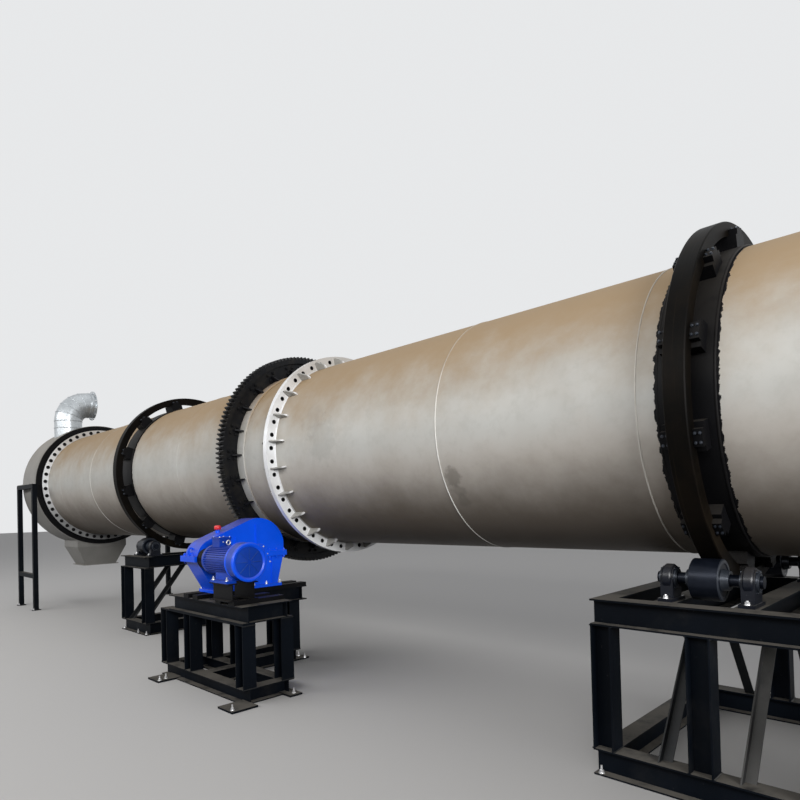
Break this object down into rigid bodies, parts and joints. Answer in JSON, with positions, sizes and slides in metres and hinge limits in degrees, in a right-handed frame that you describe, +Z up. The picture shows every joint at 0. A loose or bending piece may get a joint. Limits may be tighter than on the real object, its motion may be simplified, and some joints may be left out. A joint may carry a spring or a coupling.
{
  "type": "rotary drum dryer",
  "caption": "Rotary drum dryer: long drum with two riding rings on roller stands, girth gear, motor drive, feed hood and discharge hood with exhaust elbow.",
  "frame": {"origin": "on the floor, below the middle of the dryer's plan", "axes": "+X along the drum towards the feed end, +Y away from the drive, +Z up"},
  "size_m": [15.35, 2.9, 3.885],
  "materials": {
    "drum_paint": "aluminium paint, satin, with oil smudges",
    "white_paint": "silver-white paint, satin",
    "dark_steel": "dark primer, satin",
    "worn_steel": "dark forged steel, polished by rolling",
    "greased_steel": "black cast steel with grease",
    "black_paint": "black paint, semi-gloss",
    "housing_paint": "cast housing, dark grey paint",
    "stand_paint": "near-black paint with grey dust",
    "blue_paint": "bright blue paint, semi-gloss",
    "galvanised": "galvanised sheet, satin",
    "hood_paint": "grey-brown paint, dusty"
  },
  "bodies": {
    "root": {"roller_bearings_far": "housing_paint", "roller_bearings_near": "housing_paint", "stand_top_far": "stand_paint", "stand_top_near": "stand_paint", "stand_posts_far": "stand_paint", "stand_posts_near": "stand_paint", "stand_base_far": "stand_paint", "stand_base_near": "stand_paint", "stand_braces_far": "stand_paint", "stand_braces_near": "stand_paint", "drive_stand_top": "stand_paint", "drive_stand_base": "stand_paint", "drive_stand_posts": "stand_paint", "drive_packers": "stand_paint", "reducer_lower": "blue_paint", "reducer_upper": "blue_paint", "pinion_bearing": "blue_paint", "motor": "blue_paint", "motor_coupling": "housing_paint", "discharge_hood": "hood_paint", "discharge_plates": "black_paint", "exhaust_elbow": "galvanised", "discharge_legs": "stand_paint", "feed_hood": "hood_paint", "feed_plates": "black_paint", "feed_chute": "hood_paint", "feed_legs": "stand_paint"},
    "drum": {"drum_shell_far": "drum_paint", "drum_shell_near": "drum_paint", "joint_flange_far": "dark_steel", "joint_flange_near": "white_paint", "end_flange_far": "white_paint", "end_flange_near": "white_paint", "riding_ring_far": "worn_steel", "riding_ring_near": "worn_steel", "ring_seat_far": "black_paint", "ring_seat_near": "black_paint", "girth_gear": "greased_steel", "gear_seat": "drum_paint"},
    "roller_far_front": {"roller_far_front": "worn_steel"},
    "roller_far_back": {"roller_far_back": "worn_steel"},
    "roller_near_front": {"roller_near_front": "worn_steel"},
    "roller_near_back": {"roller_near_back": "worn_steel"},
    "pinion": {"pinion": "greased_steel"}
  },
  "joints": [
    {"name": "drum_spin", "type": "hinge", "parent": "root", "child": "drum", "pos_m": [0, 0.25, 2.115], "axis": [1, 0, 0], "continuous": true},
    {"name": "pinion_spin", "type": "hinge", "parent": "root", "child": "pinion", "pos_m": [-0.64, -0.62823, 1.13962], "axis": [1, 0, 0], "continuous": true},
    {"name": "roller_far_front_spin", "type": "hinge", "parent": "root", "child": "roller_far_front", "pos_m": [-3.41, -0.39284, 1.12512], "axis": [1, 0, 0], "continuous": true},
    {"name": "roller_far_back_spin", "type": "hinge", "parent": "root", "child": "roller_far_back", "pos_m": [-3.41, 0.89284, 1.12512], "axis": [1, 0, 0], "continuous": true},
    {"name": "roller_near_front_spin", "type": "hinge", "parent": "root", "child": "roller_near_front", "pos_m": [3.665, -0.39284, 1.12512], "axis": [1, 0, 0], "continuous": true},
    {"name": "roller_near_back_spin", "type": "hinge", "parent": "root", "child": "roller_near_back", "pos_m": [3.665, 0.89284, 1.12512], "axis": [1, 0, 0], "continuous": true}
  ],
  "couplings": [
    {"joint": "pinion_spin", "follows": "drum_spin", "ratio": -5.25},
    {"joint": "roller_far_front_spin", "follows": "drum_spin", "ratio": -9.5357},
    {"joint": "roller_far_back_spin", "follows": "drum_spin", "ratio": -9.5357},
    {"joint": "roller_near_front_spin", "follows": "drum_spin", "ratio": -9.5357},
    {"joint": "roller_near_back_spin", "follows": "drum_spin", "ratio": -9.5357}
  ]
}
